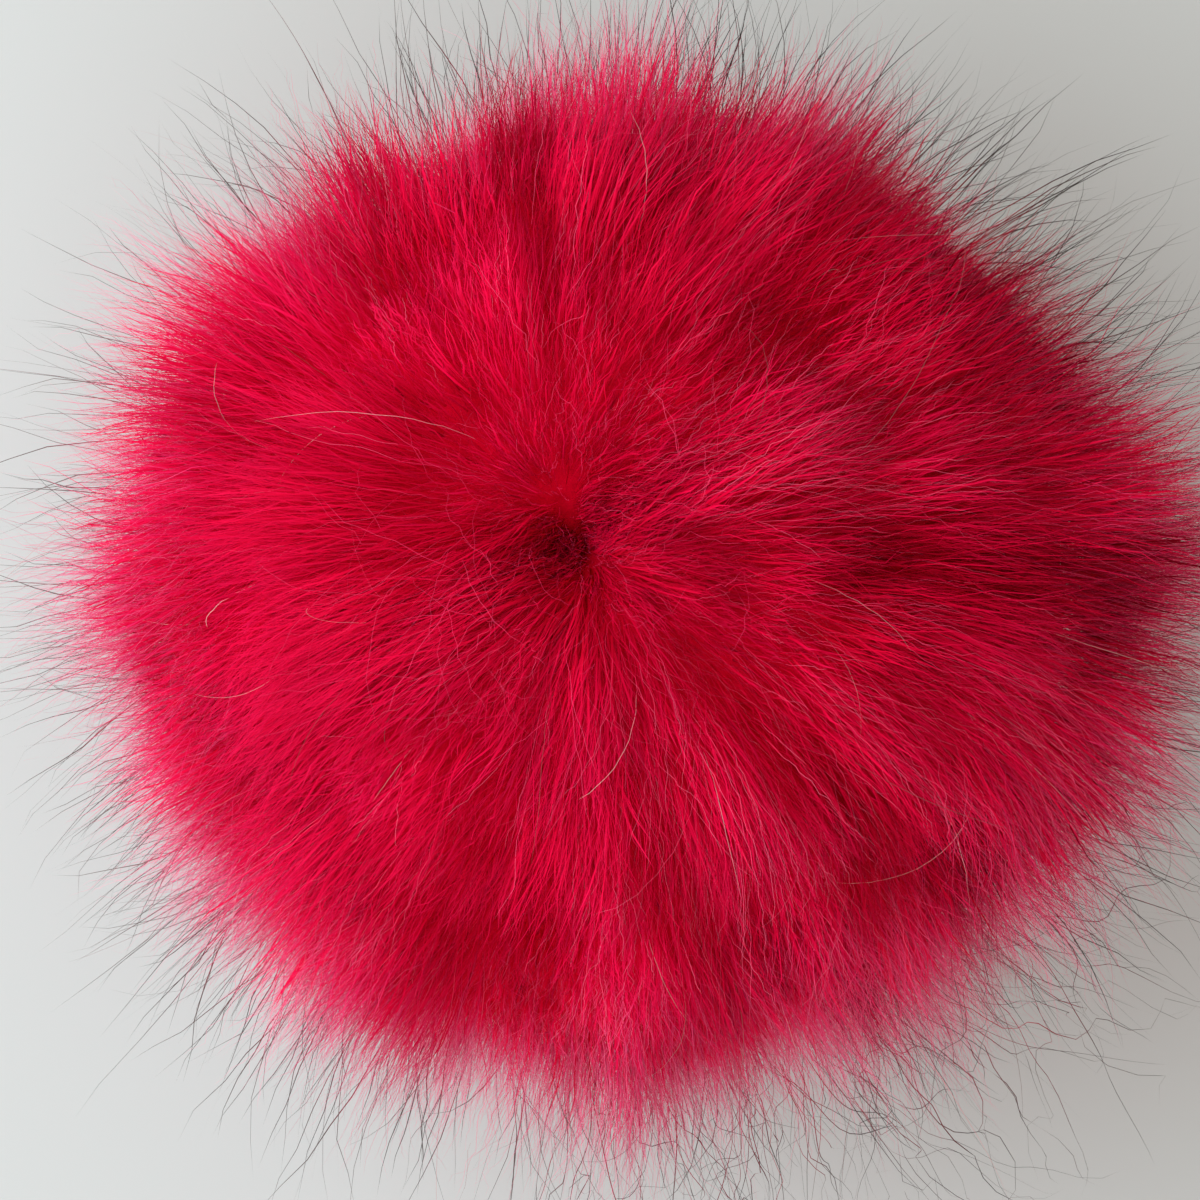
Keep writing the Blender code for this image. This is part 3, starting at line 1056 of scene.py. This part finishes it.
def make_coat(coat, guides, chance, material):
    hairs = planted_coat(coat, chance)
    wisp_of = nearest(hairs.root, guides.wisps.root)
    tuft_of = guides.tuft_of_wisp[wisp_of]
    lock_of = guides.lock_of_tuft[tuft_of]
    # The key takes painted light and shade: lighter on mounds, darker in creases, in the pit and on the
    # right side.
    key = coat.key + guides.key_of_wisp[wisp_of] + painted_light_field(hairs)
    hairs = stir(
        hairs, chance, coat.stray_deg, coat.stray_deg * HAIR_SWAY, coat.stray_deg, HAIR_LENGTH_NOISE
    )
    off_lock = hairs.root - guides.locks.root[lock_of]
    off_tuft = hairs.root - guides.tufts.root[tuft_of]

    step = np.linspace(0, 1, coat.points)
    from_lock = np.linalg.norm(off_lock, axis=1) / LOCK_HALF
    along = shares_along(coat, hairs.angle, from_lock, guides.reach_of_tuft[tuft_of], step, chance)
    tuft_paths = grow(rows_of(guides.tufts, tuft_of), along)
    lock_paths = grow(rows_of(guides.locks, lock_of), along)
    tuft_paths = gathered(tuft_paths, lock_paths, LOCK_PULL, along)
    wisp_paths = grow(rows_of(guides.wisps, wisp_of), along)
    wisp_paths = gathered(wisp_paths, tuft_paths, TUFT_PULL, along)
    pull = (coat.gather * guides.pull_of_wisp[wisp_of])[:, None]
    paths = gathered(grow(hairs, along), wisp_paths, pull, along)

    crinkle = chance.normal(0, coat.crinkle, (WISPS.count, coat.points, 3))[wisp_of]
    crinkle = crinkle + chance.normal(0, coat.crinkle * HAIR_CRINKLE, paths.shape)
    paths = paths + crinkle * (CRINKLE_AT_ROOT + (1 - CRINKLE_AT_ROOT) * step)[None, :, None]
    if coat.wave:
        paths = waved(paths, coat.wave, chance)
    paths = kept_in_bounds(paths)
    widths = tapered(
        chance, coat.hairs, coat.width, HAIR_SIZES, step, WIDEST_AT, ROOT_WIDTH, coat.tip
    )
    key = key + chance.normal(0, HAIR_KEY_NOISE, coat.hairs)
    tilt = off_lock * (LOCK_RELIEF / LOCK_HALF) + off_tuft * (TUFT_RELIEF / TUFT_HALF)
    mesh = strand_mesh(coat.name, paths, widths, key, chance, tilt[:, None, :])
    add_piece(coat.name, mesh, material)


# ---------------------------------------------------------------- long single hairs


def planted_long(kind, chance, choices=1):
    return plant(chance, choices * kind.hairs, kind.from_deg, kind.to_deg, kind.out)


def chosen_long(kind, hairs, crowd, chance):
    """As many of the hairs as the kind has, more of them where the crowd is thicker."""
    picks = chance.choice(len(crowd), kind.hairs, replace=False, p=crowd / crowd.sum())
    return rows_of(hairs, picks)


def stirred_long(kind, hairs, chance):
    return stir(hairs, chance, kind.turn_deg, kind.sway_deg, kind.lift_deg)


def shares_of(kind):
    """The shares of its length at which a long hair has its points."""
    return np.linspace(kind.bare, 1, kind.points)


def tapered_long(kind, chance):
    step = shares_of(kind)
    return tapered(
        chance, kind.hairs, kind.width, kind.sizes, step, kind.widest_at, LONG_ROOT_WIDTH, kind.tip
    )


def add_long(kind, paths, widths, key, chance, materials):
    mesh = strand_mesh(kind.name, paths, widths, key, chance, roll_deg=kind.roll_deg)
    add_piece(kind.name, mesh, materials[kind.dye])


def make_guard_hairs(chance, materials):
    """Guard hairs round the rim, drawn together into clumps."""
    hairs = planted_long(GUARD, chance, GUARD_CHOICES)
    hairs = chosen_long(GUARD, hairs, round_value(hairs.azimuth, GUARDS, "crowd"), chance)
    hairs = stirred_long(GUARD, hairs, chance)
    size = chance.normal(1.0, GUARD_LENGTH_NOISE, GUARD.hairs).clip(*GUARD_LENGTHS)
    hairs = hairs._replace(length=round_value(hairs.azimuth, GUARDS, "length") * size)
    clumps = plant(chance, CLUMPS, GUARD.from_deg, GUARD.to_deg, GUARD.out)
    clumps = stir(clumps, chance, GUARD.turn_deg, CLUMP_SWAY_DEG, GUARD.lift_deg)
    nearby = rows_of(clumps, nearest(hairs.root, clumps.root))
    step = shares_of(GUARD)
    along = np.tile(step, (GUARD.hairs, 1))
    clump_paths = grow(nearby._replace(length=hairs.length), along)
    clump_paths = bent(clump_paths, step, CLUMP_BEND, chance)
    pull = chance.uniform(0.0, CLUMP_PULL, (GUARD.hairs, 1))
    paths = bent(grow(hairs, along), step, GUARD.bend, chance)
    paths = gathered(paths, clump_paths, pull, along)
    paths = curled(paths, round_value(hairs.azimuth, GUARDS, "curl"), chance)
    paths = kept_in_bounds(paths)
    widths = tapered_long(GUARD, chance)
    key = round_value(hairs.azimuth, GUARDS, "key")
    key = key + chance.normal(0, GUARD_KEY_NOISE, GUARD.hairs)
    add_long(GUARD, paths, widths, key, chance, materials)


def make_curled_hairs(chance, materials):
    """Long hairs that curl past the rim at the lower right."""
    hairs = planted_long(CURLED, chance, CURLED_CHOICES)
    aim = ((hairs.azimuth - CURLED_AZIMUTH + math.pi) % TURN - math.pi) / CURLED_FAN
    hairs = chosen_long(CURLED, hairs, np.exp(-(aim**2)), chance)
    hairs = stirred_long(CURLED, hairs, chance)
    length = chance.normal(CURLED_LENGTH, CURLED_LENGTH_NOISE, CURLED.hairs).clip(*CURLED_LENGTHS)
    hairs = hairs._replace(length=length)
    step = shares_of(CURLED)
    paths = grow(hairs, np.tile(step, (CURLED.hairs, 1)))
    paths = bent(paths, step - step[0], CURLED.bend, chance)
    sizes = chance.uniform(*CURLED_SIZES, CURLED.hairs) * CURLED_SIZE
    paths = kept_in_bounds(curled(paths, sizes, chance))
    widths = tapered_long(CURLED, chance)
    key = chance.normal(CURLED_KEY, CURLED_KEY_NOISE, CURLED.hairs)
    add_long(CURLED, paths, widths, key, chance, materials)


def make_stray_hairs(chance, materials):
    """Single long hairs, pale or dark, that lie across the coat."""
    hairs = stirred_long(STRAY, planted_long(STRAY, chance), chance)
    length = chance.uniform(*STRAY_LENGTHS, STRAY.hairs)
    hairs = hairs._replace(lift=hairs.lift + STRAY_LIFT, length=length)
    step = shares_of(STRAY)
    paths = grow(hairs, np.tile(step, (STRAY.hairs, 1)))
    paths = bent(paths, step - step[0], STRAY.bend, chance)
    paths = kept_in_bounds(waved(paths, STRAY_WAVE, chance))
    widths = tapered_long(STRAY, chance)
    pale = chance.uniform(*STRAY_PALE_KEYS, STRAY.hairs)
    key = np.where(chance.random(STRAY.hairs) < STRAY_DARK_SHARE, STRAY_DARK_KEY, pale)
    add_long(STRAY, paths, widths, key, chance, materials)


# ---------------------------------------------------------------- the stage


def make_floor():
    material = bpy.data.materials.new("pale_floor")
    material.use_nodes = True
    shader = material.node_tree.nodes["Principled BSDF"]
    shader.inputs["Base Color"].default_value = FLOOR_COLOUR
    shader.inputs["Roughness"].default_value = FLOOR_ROUGHNESS
    mesh = bpy.data.meshes.new("floor")
    half = FLOOR_HALF
    corners = ((-half, -half, 0), (half, -half, 0), (half, half, 0), (-half, half, 0))
    mesh.from_pydata(corners, [], [(0, 1, 2, 3)])
    mesh.materials.append(material)
    floor = bpy.data.objects.new("floor", mesh)
    bpy.context.scene.collection.objects.link(floor)


def make_light():
    world = bpy.data.worlds.new("soft_room")
    world.use_nodes = True
    background = world.node_tree.nodes["Background"]
    background.inputs["Color"].default_value = ROOM_COLOUR
    background.inputs["Strength"].default_value = ROOM_STRENGTH
    bpy.context.scene.world = world
    for window in WINDOWS:
        light = bpy.data.lights.new(window.name, "AREA")
        light.size = window.size
        light.energy = window.watts
        light.color = window.colour
        lamp = bpy.data.objects.new(window.name, light)
        lamp.location = window.place
        towards_fur = Vector((0, 0, RIM_HEIGHT)) - Vector(window.place)
        lamp.rotation_euler = towards_fur.to_track_quat("-Z", "Y").to_euler()
        bpy.context.scene.collection.objects.link(lamp)


def make_camera():
    """Straight above, as the photograph was taken."""
    data = bpy.data.cameras.new("camera")
    data.sensor_width = SENSOR
    half_frame = PHOTO_PIXELS / 2 * METRES_A_PIXEL
    data.lens = SENSOR / 2 * (CAMERA_HEIGHT - RIM_HEIGHT) / half_frame
    camera = bpy.data.objects.new("camera", data)
    off_x = (PHOTO_PIXELS / 2 - BODY_MIDDLE_PX[0]) * METRES_A_PIXEL
    off_y = (BODY_MIDDLE_PX[1] - PHOTO_PIXELS / 2) * METRES_A_PIXEL
    camera.location = (off_x, off_y, CAMERA_HEIGHT)
    bpy.context.scene.collection.objects.link(camera)
    bpy.context.scene.camera = camera


def main():
    bpy.context.scene.view_settings.view_transform = "Standard"
    make_camera()
    make_floor()
    make_light()
    make_mass()
    chance = np.random.default_rng(SEED)
    materials = {dye.name: hair_material(dye) for dye in DYES_AND_PAINTED_LIGHT}
    guides = make_guides(chance)
    for coat in COATS:
        make_coat(coat, guides, chance, materials[coat.dye])
    make_guard_hairs(chance, materials)
    make_curled_hairs(chance, materials)
    make_stray_hairs(chance, materials)


main()
